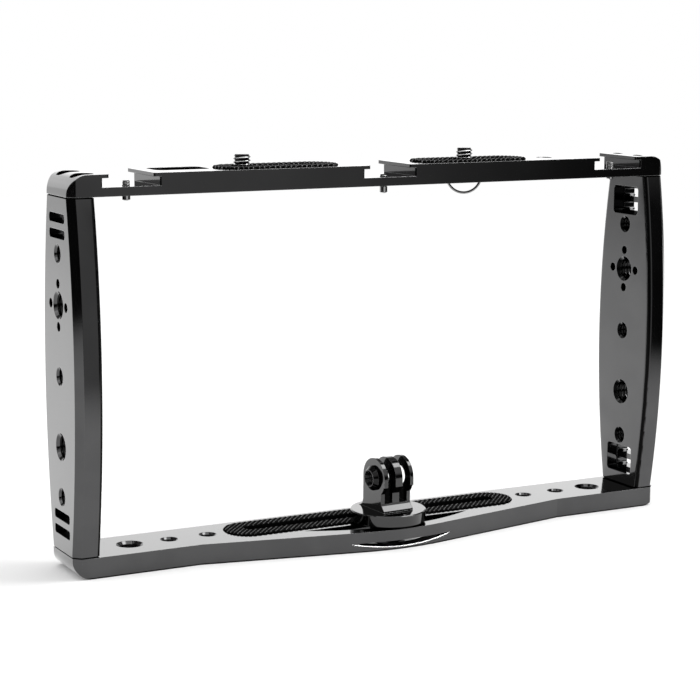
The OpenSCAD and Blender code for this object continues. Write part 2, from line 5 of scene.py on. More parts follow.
import bmesh
import bpy
from mathutils import Matrix, Vector


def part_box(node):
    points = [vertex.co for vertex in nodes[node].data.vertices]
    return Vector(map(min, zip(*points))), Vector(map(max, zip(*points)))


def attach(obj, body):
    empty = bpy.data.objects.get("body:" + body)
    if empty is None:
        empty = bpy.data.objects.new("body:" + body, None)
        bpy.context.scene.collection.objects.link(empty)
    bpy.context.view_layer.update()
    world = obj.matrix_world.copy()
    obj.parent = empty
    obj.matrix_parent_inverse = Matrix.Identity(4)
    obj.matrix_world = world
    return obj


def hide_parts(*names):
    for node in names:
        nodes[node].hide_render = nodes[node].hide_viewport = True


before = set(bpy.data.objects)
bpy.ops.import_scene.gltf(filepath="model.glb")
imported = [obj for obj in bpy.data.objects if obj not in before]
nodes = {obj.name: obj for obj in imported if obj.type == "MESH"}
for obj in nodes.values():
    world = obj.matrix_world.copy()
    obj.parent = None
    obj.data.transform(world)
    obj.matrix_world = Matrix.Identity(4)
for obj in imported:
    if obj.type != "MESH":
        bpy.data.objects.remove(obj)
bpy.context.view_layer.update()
MM = 0.001
X, Y, Z = 0, 1, 2


def span_of(node, axis):
    """A node's lowest and highest place along an axis, in millimetres."""
    return [round(corner[axis] / MM, 2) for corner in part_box(node)]


def middle_of(node, axis):
    """The middle of a node along an axis, in millimetres."""
    return sum(span_of(node, axis)) / 2


# Faces, levels and places that the model's nodes give
HANDLE_IN, HANDLE_OUT = span_of("right_handle", X)
BOTTOM_BAR_T, TOP_BAR_Z = span_of("right_handle", Z)
MID_Z = middle_of("right_handle", Z)
FRAME_H = span_of("top_bar", Z)[1]
PAD_TOP = span_of("left_camera_pad", Z)[1]
MOUNT_Y = middle_of("mount_screw", Y)

# Places of the threaded holes: heights from the middle of a handle, distances from the middle of a bar
SMALL_HANDLE_HOLES = (-43.25, 0.0, 43.25)
LARGE_HANDLE_HOLES = (-25.2, 25.2)
LARGE_BAR_HOLE = 99.7
SMALL_BAR_HOLES = (84.3, 69.0)
SPARE_HOLE = 75.5
# Threads of the holes. mouths is how much of a hole's depth its two countersunk mouths take
SMALL_THREAD = dict(wall=2.6, crest=2.22, pitch=1.27, mouths=1.7)
LARGE_THREAD = dict(wall=4.0, crest=3.52, pitch=1.5875, mouths=2.2)
# Mount: its turn, its pivot's height over its underside, and its ears' width. The thread of its captive nut,
# and how far the thread's middle lies inside the outer ear's face
MOUNT_TURN = math.radians(3.5)
PIVOT_H, EARS_W = 16.7, 12.9
NUT_THREAD_L, NUT_WALL, NUT_CREST, NUT_PITCH, NUT_THREAD_IN = 2.7, 2.1, 1.78, 0.8, 0.05
# Threads of the screws. lead is the length of the chamfer at the tip. columns is how many points go round,
# and per_turn how many rows each turn of the thread has
CAMERA_THREAD = dict(crest=3.175, root=2.55, pitch=1.27, lead=0.9, columns=96, per_turn=16)
LOCK_THREAD = dict(crest=1.45, root=1.15, pitch=0.5, lead=0.35, columns=48, per_turn=10)
# How far over its pad a camera screw's thread begins, and the length of a lock screw's thread
THREAD_UP, LOCK_THREAD_L = 0.02, 4.65
# How far a screw's thread and the rest of it overlap
CAMERA_OVERLAP, LOCK_OVERLAP = 0.03, 0.05
# Pads: the camera pads' slots lie a little further out than the pads
PAD_W, PAD_SLOT_W = 18.2, 5.8
CAMERA_PAD_L, CAMERA_PAD_X = 48.8, 40.9
CAMERA_SLOT_L, CAMERA_SLOT_X = 34.7, 41.4
TRAY_PAD_L, TRAY_SLOT_L = 123.4, 108.0
# Radius of the bite that the tray pad leaves for the mount's boss
BITE_R = 6.7
# Cords of the pads: spacing along the pad, angle and height, and the strands wound round them
RIB_STEP, RIB_ANGLE, RIB_H = 2.12, math.radians(47.0), 0.31
SINE, COSINE = math.sin(RIB_ANGLE), math.cos(RIB_ANGLE)
STRAND_STEP, STRAND_LEAN, STRAND_DEPTH = 1.05, 1.2, 0.14
# Heights of the fine steps at the handles' ends, painted dark as shade, and of the painted contact shadow
# along the bottom bar's lower edge
LOWER_STEP, UPPER_STEP = 0.4, 0.55
SHADOW_LINE = 0.42
# Lens-shaped window in the bottom bar's front wall: half its length, its top, and a place behind the wall,
# which bound the painted highlight on its lower lip
WINDOW_X, WINDOW_TOP, WINDOW_BACK = 22.0, 3.3, -20.0
# How far a painted line reaches past its level
MARGIN = 0.01

# Camera, solved from the frame's straight edges and corners in the photograph
CAMERA_AT = Vector((-357.46, -650.70, 193.69)) * MM
YAW, PITCH, ROLL = 0.4905, -0.1636, 0.005
LENS, SENSOR = 102.13, 36.0
forward = Vector((math.sin(YAW) * math.cos(PITCH), math.cos(YAW) * math.cos(PITCH), math.sin(PITCH)))
level = Vector((math.cos(YAW), -math.sin(YAW), 0.0))
side = level * math.cos(ROLL) + level.cross(forward) * math.sin(ROLL)
upright = side.cross(forward)
camera_data = bpy.data.cameras.new("camera")
camera_data.lens, camera_data.sensor_width = LENS, SENSOR
camera_data.clip_start, camera_data.clip_end = 0.01, 60.0
camera = bpy.data.objects.new("camera", camera_data)
bpy.context.scene.collection.objects.link(camera)
camera.matrix_world = Matrix((
    (side.x, upright.x, -forward.x, CAMERA_AT.x),
    (side.y, upright.y, -forward.y, CAMERA_AT.y),
    (side.z, upright.z, -forward.z, CAMERA_AT.z),
    (0, 0, 0, 1)))
bpy.context.scene.camera = camera


# Node helpers
class Nodes:
    """A node tree, with short ways to add its nodes and to join them."""

    def __init__(self, tree):
        self.tree = tree
        tree.nodes.clear()

    def feed(self, socket, value):
        """Joins a node's output to a socket, or sets the socket to a constant."""
        if isinstance(value, bpy.types.NodeSocket):
            self.tree.links.new(value, socket)
        else:
            socket.default_value = value

    def add(self, kind, inputs=None, **settings):
        """A new node with its settings, and its inputs fed by name or by number."""
        node = self.tree.nodes.new(kind)
        for name, value in settings.items():
            setattr(node, name, value)
        for name, value in (inputs or {}).items():
            self.feed(node.inputs[name], value)
        return node

    def math(self, operation, *values):
        """A sum on numbers."""
        return self.add("ShaderNodeMath", dict(enumerate(values)), operation=operation).outputs[0]

    def times(self, first, *others):
        """The product of two or more numbers."""
        for other in others:
            first = self.math("MULTIPLY", first, other)
        return first

    def opposite(self, value):
        """1 where a value is 0, and 0 where it is 1."""
        return self.math("SUBTRACT", 1.0, value)

    def vector(self, operation, *vectors):
        """A sum on vectors, which gives a number for a dot product or a length."""
        node = self.add("ShaderNodeVectorMath", dict(enumerate(vectors)), operation=operation)
        return node.outputs["Value" if operation in ("DOT_PRODUCT", "LENGTH") else "Vector"]

    def parts(self, vector):
        """The X, Y and Z of a vector."""
        return self.add("ShaderNodeSeparateXYZ", {0: vector}).outputs

    def span(self, value, low, high, to_low=0.0, to_high=1.0, smooth=True):
        """A value's way from low to high as a way from to_low to to_high, eased at both ends if smooth."""
        inputs = {"Value": value, "From Min": low, "From Max": high, "To Min": to_low, "To Max": to_high}
        kind = "SMOOTHSTEP" if smooth else "LINEAR"
        return self.add("ShaderNodeMapRange", inputs, interpolation_type=kind).outputs[0]

    def noise(self, place, scale, detail=2.0, roughness=0.5):
        """A cloudy pattern between 0 and 1."""
        inputs = {"Vector": place, "Scale": scale, "Detail": detail, "Roughness": roughness}
        return self.add("ShaderNodeTexNoise", inputs).outputs["Fac"]

    def mix(self, factor, first, second):
        """The first colour where the factor is 0, and the second where it is 1."""
        first_socket, second_socket, result = 6, 7, 2
        inputs = {"Factor": factor, first_socket: first, second_socket: second}
        return self.add("ShaderNodeMix", inputs, data_type="RGBA").outputs[result]


def grey(tone, blue=0.0):
    """A grey colour, with a little more blue if asked."""
    return (tone, tone, tone + blue, 1.0)


def new_material(name):
    """A material with an empty node tree, and the tools to fill it."""
    material = bpy.data.materials.new(name)
    material.use_nodes = True
    return material, Nodes(material.node_tree)


def surface(tools, inputs):
    """The material's surface, a principled shader with these inputs."""
    shader = tools.add("ShaderNodeBsdfPrincipled", inputs)
    tools.add("ShaderNodeOutputMaterial", {"Surface": shader.outputs[0]})


def paint(obj, material):
    """Gives an object one material."""
    obj.data.materials.clear()
    obj.data.materials.append(material)


# Metals. Scales count the features of a pattern in a metre
WIDE_EDGE, GRAIN_DEPTH = 0.9, 0.06
PATCH_SCALE, MARK_SCALE, GRAIN_SCALE = 60.0, 900.0, 5200.0
COAT = {"Coat Roughness": 0.05, "Coat IOR": 1.5}
# Tones of the painted highlight on the window's lip, of painted shade, and of painted shade in a screw's
# thread roots
PAINTED_HIGHLIGHT, PAINTED_SHADE, ROOT_SHADE = grey(0.95), grey(0.001), grey(0.012)
# Tone factors of faint patches, and the roughness of painted shade and of handling marks
DARK_PATCH, LIGHT_PATCH, PAINTED_SHADE_ROUGHNESS, MARK_ROUGHNESS = 0.9, 1.12, 0.8, 0.05


def edge_wear_and_highlight(tools, radius, wide=None):
    """A normal rounded at the edges by a radius, and how much a place is lightened, partly as wear and partly
    as a
    painted highlight: 1 on edges, where the rounded normal leaves the true one, and 0 on flats. Where wide is
    1, the edges are rounded more."""
    size = radius * MM
    if wide is not None:
        size = tools.span(wide, 0.0, 1.0, radius * MM, WIDE_EDGE * MM, smooth=False)
    rounded = tools.add("ShaderNodeBevel", {"Radius": size}, samples=6).outputs[0]
    true = tools.add("ShaderNodeNewGeometry").outputs["True Normal"]
    return rounded, tools.span(tools.vector("DOT_PRODUCT", rounded, true), 0.985, 0.80)


def thread_root_shade(tools, place, height, axis_x, axis_y, start_z, root, crest):
    """1 in the roots of a screw's thread, above the level where it starts, where painted shade darkens them.
    """
    unshaded_share, shaded_share, inside_root = 0.62, 0.22, 0.2
    arm = tools.vector("SUBTRACT", place, (axis_x * MM, axis_y * MM, 0.0))
    reach = tools.vector("LENGTH", tools.vector("MULTIPLY", arm, (1.0, 1.0, 0.0)))
    depth = crest - root
    deep = tools.span(reach, (root + depth * unshaded_share) * MM, (root + depth * shaded_share) * MM)
    above = tools.span(height, (start_z - MARGIN) * MM, (start_z + MARGIN) * MM)
    outside = tools.math("GREATER_THAN", reach, (root - inside_root) * MM)
    return tools.times(deep, above, outside)


def metal(name, base, wear_and_highlight, rough, edge_r, coat=0.0, grain=0.02, blue=0.0, painted_shade=None, painted_highlight=None, thread=None):
    """Metal with a fine grain, faint patches and handling marks, and edges lightened partly as wear and
    partly as a painted highlight. base and the edge tone are the tones of flats and of lightened edges, and
    coat is the gloss over them. Two further functions of the tools, the place and the way a face looks, in
    the piece's own frame, say where painted shade makes the surface dark, rough and without gloss, and where
    a painted highlight makes the edges near white and rounds them more. thread says where painted shade
    darkens the roots of a screw's
    thread: its axis, the level where it starts, its root and its crest."""
    material, tools = new_material(name)
    coordinates = tools.add("ShaderNodeTexCoord").outputs
    place = coordinates["Object"]
    at = tools.parts(place)
    looks = tools.parts(coordinates["Normal"])
    # Where the painted highlight on the window's lip goes
    cut = painted_highlight(tools, at, looks) if painted_highlight else None
    normal, edge = edge_wear_and_highlight(tools, edge_r, cut)
    patches = tools.noise(place, PATCH_SCALE, 3.0)
    marks = tools.noise(place, MARK_SCALE, 4.0, 0.65)
    dark, light = grey(base * DARK_PATCH, blue), grey(base * LIGHT_PATCH, blue)
    colour = tools.mix(tools.span(patches, 0.35, 0.65), dark, light)
    # Edges lightened towards the edge tone, partly as wear and partly as a painted highlight
    colour = tools.mix(tools.times(edge, tools.span(marks, 0.42, 0.62)), colour, grey(wear_and_highlight))
    # Painted highlight: edges made near white there
    if painted_highlight:
        colour = tools.mix(tools.times(edge, cut), colour, PAINTED_HIGHLIGHT)
    roughness = tools.span(patches, 0.3, 0.7, rough * 0.85, rough * 1.15)
    roughness = tools.math("ADD", roughness, tools.span(marks, 0.62, 0.75, 0.0, MARK_ROUGHNESS))
    gloss = coat
    # Painted shade: dark, rough and without gloss where the shade function says
    if painted_shade:
        inside = painted_shade(tools, at, looks)
        colour = tools.mix(inside, colour, PAINTED_SHADE)
        roughness = tools.math("MAXIMUM", roughness, tools.times(inside, PAINTED_SHADE_ROUGHNESS))
        gloss = tools.times(tools.opposite(inside), coat)
    # Painted shade in the roots of a screw's thread
    if thread:
        colour = tools.mix(thread_root_shade(tools, place, at["Z"], *thread), colour, ROOT_SHADE)
    bump = tools.add("ShaderNodeBump", {
        "Strength": grain, "Distance": GRAIN_DEPTH * MM, "Normal": normal,
        "Height": tools.noise(place, GRAIN_SCALE)})
    inputs = {"Base Color": colour, "Roughness": roughness, "Normal": bump.outputs[0], "Metallic": 1.0}
    if coat:
        inputs.update(COAT)
        inputs.update({"Coat Weight": gloss, "Coat Normal": normal})
    surface(tools, inputs)
    return material


def between(tools, height, low, high):
    """1 between two heights in millimetres."""
    above = tools.math("GREATER_THAN", height, low * MM)
    return tools.times(above, tools.math("LESS_THAN", height, high * MM))


def handle_painted_shade(tools, at, looks):
    """Painted shade on the fine steps at a handle's ends and on its rounded inner edges."""
    lower = between(tools, at["Z"], BOTTOM_BAR_T - MARGIN, BOTTOM_BAR_T + LOWER_STEP + MARGIN)
    upper = between(tools, at["Z"], TOP_BAR_Z - UPPER_STEP - MARGIN, TOP_BAR_Z + MARGIN)
    inward = tools.times(looks["X"], tools.math("SIGN", at["X"]), -1.0)
    sideways = tools.math("ABSOLUTE", looks["Y"])
    rounding = tools.times(tools.span(inward, 0.15, 0.4), tools.span(sideways, 0.25, 0.55), 0.93)
    return tools.math("MAXIMUM", tools.math("MAXIMUM", lower, upper), rounding)


def bottom_painted_shadow(tools, at, looks):
    """A painted contact shadow: a dark line along the bottom bar's lower edge."""
    return between(tools, at["Z"], -SHADOW_LINE, SHADOW_LINE)


def bottom_painted_highlight(tools, at, looks):
    """A painted highlight on the lower lip of the lens-shaped window, where its edges are made near white."""
    low = between(tools, at["Z"], SHADOW_LINE + MARGIN, WINDOW_TOP)
    front = tools.math("LESS_THAN", at["Y"], WINDOW_BACK * MM)
    middle = tools.math("LESS_THAN", tools.math("ABSOLUTE", at["X"]), WINDOW_X * MM)
    return tools.times(low, front, middle)


def mount_painted_shade(tools, at, looks):
    """Painted shade on the mount's faces that look down."""
    return tools.span(looks["Z"], -0.1, -0.35)


ANODISED = dict(base=0.034, rough=0.12, coat=1.0, blue=0.001)
BRIGHT = dict(base=0.62, wear_and_highlight=0.80, rough=0.08, edge_r=0.1, grain=0.03)
BLACK = metal("black anodised aluminium", wear_and_highlight=0.16, edge_r=0.3, **ANODISED)
HANDLE = metal("black anodised handle", wear_and_highlight=0.12, edge_r=0.25, painted_shade=handle_painted_shade, **ANODISED)
BOTTOM_BLACK = metal("black anodised bottom bar", wear_and_highlight=0.16, edge_r=0.25, painted_shade=bottom_painted_shadow, painted_highlight=bottom_painted_highlight,
                     **ANODISED)
# The holes' threads are darker and less glossy than the frame's anodising: painted shade inside the holes
THREAD = metal("black anodised thread", base=0.005, wear_and_highlight=0.05, rough=0.14, edge_r=0.1, coat=0.2)
MOUNT_BLACK = metal("black mount", base=0.02, wear_and_highlight=0.14, rough=0.12, edge_r=0.22, coat=0.9, painted_shade=mount_painted_shade)
OXIDE = metal("black oxide steel", base=0.008, wear_and_highlight=0.3, rough=0.12, edge_r=0.2, coat=0.3, grain=0.04)
STEEL = metal("bright steel", base=0.60, wear_and_highlight=0.75, rough=0.10, edge_r=0.1, grain=0.03)
WIRE = metal("steel wire", base=0.30, wear_and_highlight=0.5, rough=0.14, edge_r=0.1, grain=0.03)
FINISHES = {
    "top_bar": BLACK, "bottom_bar": BOTTOM_BLACK, "mount_body": MOUNT_BLACK,
    "top_bar_screws": OXIDE, "bottom_bar_screws": OXIDE, "mount_nut": OXIDE,
    "left_screw_washer": STEEL, "right_screw_washer": STEEL, "mount_screw": STEEL,
    "left_screw_ring": WIRE, "right_screw_ring": WIRE}
for node, finish in FINISHES.items():
    paint(nodes[node], finish)


# Rubber of the pads
SPECK_SCALE, SPECK_DEPTH, SPECK_STRENGTH = 2600.0, 0.12, 0.55
GROOVE_TONE = 0.003


def rubber(name, crest, walls):
    """Black rubber: crowns of the cords lightened to the tone crest in short strokes, partly as wear and
    partly as a painted glint where they catch the light; grooves left black. walls is 1 where the lightening
    goes on down the pad's walls, and 0 where it stays on faces that look up."""
    material, tools = new_material(name)
    coordinates = tools.add("ShaderNodeTexCoord").outputs
    place = coordinates["Object"]
    spacing = RIB_STEP * SINE * MM
    across = tools.vector("DOT_PRODUCT", place, (SINE / spacing, -COSINE / spacing, 0.0))
    along = tools.vector("DOT_PRODUCT", place, (COSINE / MM, SINE / MM, 0.0))
    share = tools.math("FRACT", across)
    crown = tools.span(tools.math("ABSOLUTE", tools.math("SUBTRACT", share, 0.5)), 0.22, 0.08)
    twist = tools.math("ADD", tools.math("DIVIDE", along, STRAND_STEP), tools.times(share, STRAND_LEAN))
    off = tools.math("ABSOLUTE", tools.math("SUBTRACT", tools.math("FRACT", twist), 0.5))
    strand = tools.span(off, 0.16, 0.34)
    speck = tools.noise(place, SPECK_SCALE, 3.0, 0.7)
    top = tools.span(tools.parts(coordinates["Normal"])["Z"], 0.25, 0.7)
    # Crowns lightened partly as wear and partly as a painted glint, on faces that look up unless walls is 1
    rubbed_and_glint = tools.times(strand, tools.span(speck, 0.34, 0.6), crown)
    rubbed_and_glint = tools.times(rubbed_and_glint, tools.math("MAXIMUM", top, walls))
    bump = tools.add("ShaderNodeBump", {
        "Strength": SPECK_STRENGTH, "Distance": SPECK_DEPTH * MM, "Height": speck})
    surface(tools, {
        "Base Color": tools.mix(rubbed_and_glint, grey(GROOVE_TONE), grey(crest)),
        "Roughness": tools.span(rubbed_and_glint, 0.0, 1.0, 0.9, 0.38),
        "Specular IOR Level": tools.span(rubbed_and_glint, 0.0, 1.0, 0.02, 0.5),
        "Normal": bump.outputs[0]})
    return material


TRAY_RUBBER = rubber("tray pad rubber", crest=0.17, walls=0.0)
CAMERA_RUBBER = rubber("camera pad rubber", crest=0.26, walls=1.0)


# Mesh helpers
# Points closer than this, in metres, are joined
JOIN_DISTANCE = 1e-7
# Steepest bend, in degrees, that is still shaded as a round one
HANDLE_ANGLE, SCREW_ANGLE = 28.0, 40.0


def new_object(name, mesh):
    """A mesh, or a lamp, as an object in the scene."""
    obj = bpy.data.objects.new(name, mesh)
    bpy.context.scene.collection.objects.link(obj)
    return obj


def make_object(name, points, faces, material):
    """A smooth piece from points in millimetres."""
    mesh = bpy.data.meshes.new(name)
    mesh.from_pydata([[value * MM for value in point] for point in points], [], faces)
    mesh.validate()
    mesh.update()
    mesh.polygons.foreach_set("use_smooth", [True] * len(mesh.polygons))
    mesh.materials.append(material)
    return new_object(name, mesh)


def copy_of(node, name, cut_z=None):
    """An object with a node's shape, its points joined. With cut_z it ends there, closed by a flat face."""
    mesh = bpy.data.meshes.new(name)
    shape = bmesh.new()
    shape.from_mesh(nodes[node].data)
    bmesh.ops.remove_doubles(shape, verts=shape.verts, dist=JOIN_DISTANCE)
    if cut_z is not None:
        cut = bmesh.ops.bisect_plane(
            shape, geom=shape.verts[:] + shape.edges[:] + shape.faces[:], dist=1e-8,
            plane_co=(0, 0, cut_z * MM), plane_no=(0, 0, 1), clear_outer=True)
        rim = [item for item in cut["geom_cut"] if isinstance(item, bmesh.types.BMEdge)]
        bmesh.ops.contextual_create(shape, geom=rim)
    shape.to_mesh(mesh)
    shape.free()
    return new_object(name, mesh)


def join_shape(obj, points, faces, at):
    """Adds a closed shape, in millimetres about at, to an object's mesh."""
    shape = bmesh.new()
    shape.from_mesh(obj.data)
    fresh = [shape.verts.new((Vector(point) + Vector(at)) * MM) for point in points]
    for face in faces:
        shape.faces.new([fresh[i] for i in face])
    shape.to_mesh(obj.data)
    shape.free()


def by_angle(obj, degrees):
    """Smooth shading that stays sharp over hard edges."""
    mesh = obj.data
    mesh.polygons.foreach_set("use_smooth", [True] * len(mesh.polygons))
    mesh.set_sharp_from_angle(angle=math.radians(degrees))


def ring_faces(rows, columns, flip=False):
    """Quads of a grid of rows of points, each row closed on itself."""
    faces = []
    for i in range(rows - 1):
        for j in range(columns):
            k = (j + 1) % columns
            quad = (i * columns + j, i * columns + k, (i + 1) * columns + k, (i + 1) * columns + j)
            faces.append(quad[::-1] if flip else quad)
    return faces


def circle_points(radii, z):
    """Points round Z at a height, evenly turned, each at its own radius."""
    points = []
    for j, radius in enumerate(radii):
        angle = 2 * math.pi * j / len(radii)
        points.append((radius * math.cos(angle), radius * math.sin(angle), z))
    return points


def placed(points, at, axis):
    """Points drawn about Z, turned so that Z lies along axis, and moved to at."""
    turn = Vector((0, 0, 1)).rotation_difference(Vector(axis)).to_matrix()
    return [tuple(turn @ Vector(point) + Vector(at)) for point in points]


# Threads
def thread_wave(phase):
    """Height of a thread's flank at a place along one turn, 0 at the root and 1 at the crest."""
    root_flat, flank = 0.12, 0.72
    phase %= 1.0
    rise = min(phase, 1.0 - phase) * 2.0
    return min(max((rise - root_flat) / flank, 0.0), 1.0)


def outer_thread(z0, z1, crest, root, pitch, lead, columns, per_turn):
    """Points and faces of a closed threaded rod along Z, with a chamfer at its tip and a short one below."""
    tip_inset, foot_inset, foot_lead = 0.12, 0.1, 0.35
    depth = crest - root
    rows = int((z1 - z0) / pitch * per_turn) + 1
    points = []
    for i in range(rows):
        z = z0 + (z1 - z0) * i / (rows - 1)
        tip = root - tip_inset + (z1 - z) / lead * (depth + tip_inset)
        foot = root - foot_inset + (z - z0) / foot_lead * (depth + foot_inset)
        waves = [thread_wave((z - z0) / pitch - j / columns) for j in range(columns)]
        points += circle_points([min(root + depth * wave, tip, foot, crest) for wave in waves], z)
    faces = ring_faces(rows, columns)
    faces.append(tuple(reversed(range(columns))))
    faces.append(tuple((rows - 1) * columns + j for j in range(columns)))
    return points, faces


def inner_thread(length, wall, crest, pitch, columns=56, per_turn=10):
    """Points and faces of a closed threaded sleeve about Z, its middle at 0. Its ridges stand inside the
    hole's wall, and its roots and its back lie in the metal."""
    root, back = wall + 0.03, wall + 0.12
    rows = int(length / pitch * per_turn) + 1
    points = []
    for i in range(rows):
        z = length * (i / (rows - 1) - 0.5)
        fade = min(1.0, (length / 2 - abs(z)) / (0.5 * pitch))
        waves = [thread_wave(z / pitch - j / columns) for j in range(columns)]
        points += circle_points([root - (root - crest) * wave * fade for wave in waves], z)
    for z in (length / 2, -length / 2):
        points += circle_points([back] * columns, z)
    faces = ring_faces(rows + 2, columns, flip=True)
    last = (rows + 1) * columns
    for j in range(columns):
        k = (j + 1) % columns
        faces.append((k, j, last + j, last + k))
    return points, faces


def threads_in_holes():
    """The threads of every hole in the frame, in one piece."""
    along_x, along_z = (1, 0, 0), (0, 0, 1)
    handle_x = (HANDLE_IN + HANDLE_OUT) / 2
    handle_t = HANDLE_OUT - HANDLE_IN
    holes = []
    for s in (-1, 1):
        for z in SMALL_HANDLE_HOLES:
            holes.append(((s * handle_x, 0, MID_Z + z), along_x, handle_t, SMALL_THREAD))
        for z in LARGE_HANDLE_HOLES:
            holes.append(((s * handle_x, 0, MID_Z + z), along_x, handle_t, LARGE_THREAD))
        holes.append(((s * LARGE_BAR_HOLE, 0, BOTTOM_BAR_T / 2), along_z, BOTTOM_BAR_T, LARGE_THREAD))
        for x in SMALL_BAR_HOLES:
            holes.append(((s * x, 0, BOTTOM_BAR_T / 2), along_z, BOTTOM_BAR_T, SMALL_THREAD))
    holes.append(((SPARE_HOLE, 0, (TOP_BAR_Z + FRAME_H) / 2), along_z, FRAME_H - TOP_BAR_Z, SMALL_THREAD))
    points, faces = [], []
    for at, axis, depth, form in holes:
        fresh, polygons = inner_thread(depth - form["mouths"], form["wall"], form["crest"], form["pitch"])
        base = len(points)
        points += placed(fresh, at, axis)
        faces += [tuple(base + i for i in polygon) for polygon in polygons]
    piece = make_object("hole_threads", points, faces, THREAD)
    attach(piece, "frame")


def thread_in_nut():
    """The thread of the mount's captive nut, just inside its outer face."""
    along = Vector((math.cos(MOUNT_TURN), math.sin(MOUNT_TURN), 0.0))
    pivot = Vector((0, MOUNT_Y, span_of("mount_body", Z)[0] + PIVOT_H))
    middle = pivot - along * (EARS_W / 2 - NUT_THREAD_IN)
    points, faces = inner_thread(NUT_THREAD_L, NUT_WALL, NUT_CREST, NUT_PITCH, columns=40)
    piece = make_object("nut_thread", placed(points, middle, along), faces, OXIDE)
    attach(piece, "mount")


threads_in_holes()
thread_in_nut()


# Handles
def evenly_shaded(node):
    """Stands a copy for a handle, the same shape, whose rounds are shaded by the area of their faces, so
    that slivers where the rounds were joined leave no streaks."""
    piece = copy_of(node, node + "_even")
    normals = piece.data.attributes.get("custom_normal")
    if normals:
        piece.data.attributes.remove(normals)
    by_angle(piece, HANDLE_ANGLE)
    weighted = piece.modifiers.new("even shading", "WEIGHTED_NORMAL")
    weighted.keep_sharp = True
    weighted.weight = 100
    paint(piece, HANDLE)
    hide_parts(node)
    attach(piece, "frame")


evenly_shaded("left_handle")
evenly_shaded("right_handle")


# Screws
def threaded_screw(side_name, kind, start_z, overlap, shade_z, thread):
    """A camera or lock screw: the model's screw to just above start_z, and a real thread from start_z to its
    tip. Above a given level the thread's roots are darkened by painted shade."""
    node = f"{side_name}_{kind}_screw"
    axis_x, axis_y = middle_of(node, X), middle_of(node, Y)
    screw = copy_of(node, f"{side_name}_threaded_{kind}_screw", start_z + overlap)
    points, faces = outer_thread(start_z, span_of(node, Z)[1], **thread)
    join_shape(screw, points, faces, (axis_x, axis_y, 0))
    by_angle(screw, SCREW_ANGLE)
    root_shade = (axis_x, axis_y, shade_z, thread["root"], thread["crest"])
    paint(screw, metal(f"{side_name} {kind} screw steel", thread=root_shade, **BRIGHT))
    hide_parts(node)
    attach(screw, node)


for side_name in ("left", "right"):
    threaded_screw(side_name, "camera", PAD_TOP + THREAD_UP, CAMERA_OVERLAP, PAD_TOP, CAMERA_THREAD)
for side_name in ("left", "centre", "right"):
    start = span_of(side_name + "_lock_screw", Z)[1] - LOCK_THREAD_L
    threaded_screw(side_name, "lock", start, LOCK_OVERLAP, TOP_BAR_Z, LOCK_THREAD)


# Ribbed pads
MESH_STEP = 0.24
# How deep the cords' ends tooth a pad's rim, how far in its edge is rounded and how far that drops, and the
# share of the cords' height that is left at the edge
TOOTH, EDGE_ROUND, EDGE_DROP, EDGE_CORD = 0.26, 0.45, 0.16, 0.35
# How far under the pad's body its walls end, and how far its floor stays inside its rim and its slot
WALL_DROP, FLOOR_RIM, FLOOR_SLOT = 0.28, 0.06, 0.02


def cord(x, y):
    """Height of the diagonal cords, 0 in a groove and 1 on a crown, with fine strands wound round each."""
    across = (x * SINE - y * COSINE) / (RIB_STEP * SINE)
    run = x * COSINE + y * SINE
    share = across - math.floor(across)
    crown = math.sqrt(max(0.0, 1.0 - (2.0 * share - 1.0) ** 2))
    strand = 0.5 + 0.5 * math.cos(2 * math.pi * (run / STRAND_STEP + STRAND_LEAN * share))
    return crown * (1.0 - STRAND_DEPTH + STRAND_DEPTH * strand)


def stadium(length, width, centre_x, count):
    """Evenly spaced points round a flat shape with round ends. The second half is the first turned round."""
    straight, radius = length - width, width / 2
    half_round = straight + math.pi * radius
    points = []
    for i in range(count):
        turned, run = divmod(2 * half_round * i / count, half_round)
        if run < straight:
            x, y = run - straight / 2, -radius
        else:
            angle = (run - straight) / radius - math.pi / 2
            x, y = straight / 2 + radius * math.cos(angle), radius * math.sin(angle)
        way = -1 if turned else 1
        points.append((centre_x + way * x, way * y))
    return points


def slot_point(x, y, length, width, centre_x):
    """Nearest point of the slot's outline to a point outside it."""
    half = (length - width) / 2
    nearest_x = min(max(x, centre_x - half), centre_x + half)
    away = Vector((x - nearest_x, y)).normalized() * (width / 2)
    return nearest_x + away.x, away.y


def bitten(x, y):
    """A point of the tray pad's rim, moved back where the mount's boss bites into it."""
    if y < 0 and abs(x) < BITE_R:
        y = max(y, MOUNT_Y + math.sqrt(BITE_R ** 2 - x * x))
    return x, y


def pad_section(rim, slot, low, high, count):
    """Points of a section through a pad from rim to slot: floor, wall, ribbed top, wall and floor."""
    body = high - RIB_H
    inward = (slot - rim).normalized()
    outer = rim + inward * TOOTH * (1.0 - cord(*rim))
    inner = slot - inward * TOOTH * (1.0 - cord(*slot))
    points = [(*(rim + inward * FLOOR_RIM), low), (*outer, body - WALL_DROP)]
    for i in range(count + 1):
        share = i / count
        x, y = outer + (inner - outer) * share
        edge = min(1.0, min(share, 1.0 - share) * 0.5 * (PAD_W - PAD_SLOT_W) / EDGE_ROUND)
        round_off = math.sqrt(max(0.0, 1.0 - (1.0 - edge) ** 2))
        crown = RIB_H * cord(x, y) * (EDGE_CORD + (1.0 - EDGE_CORD) * round_off)
        points.append((x, y, body + crown - EDGE_DROP * (1.0 - round_off)))
    return points + [(*inner, body - WALL_DROP), (*(slot - inward * FLOOR_SLOT), low)]


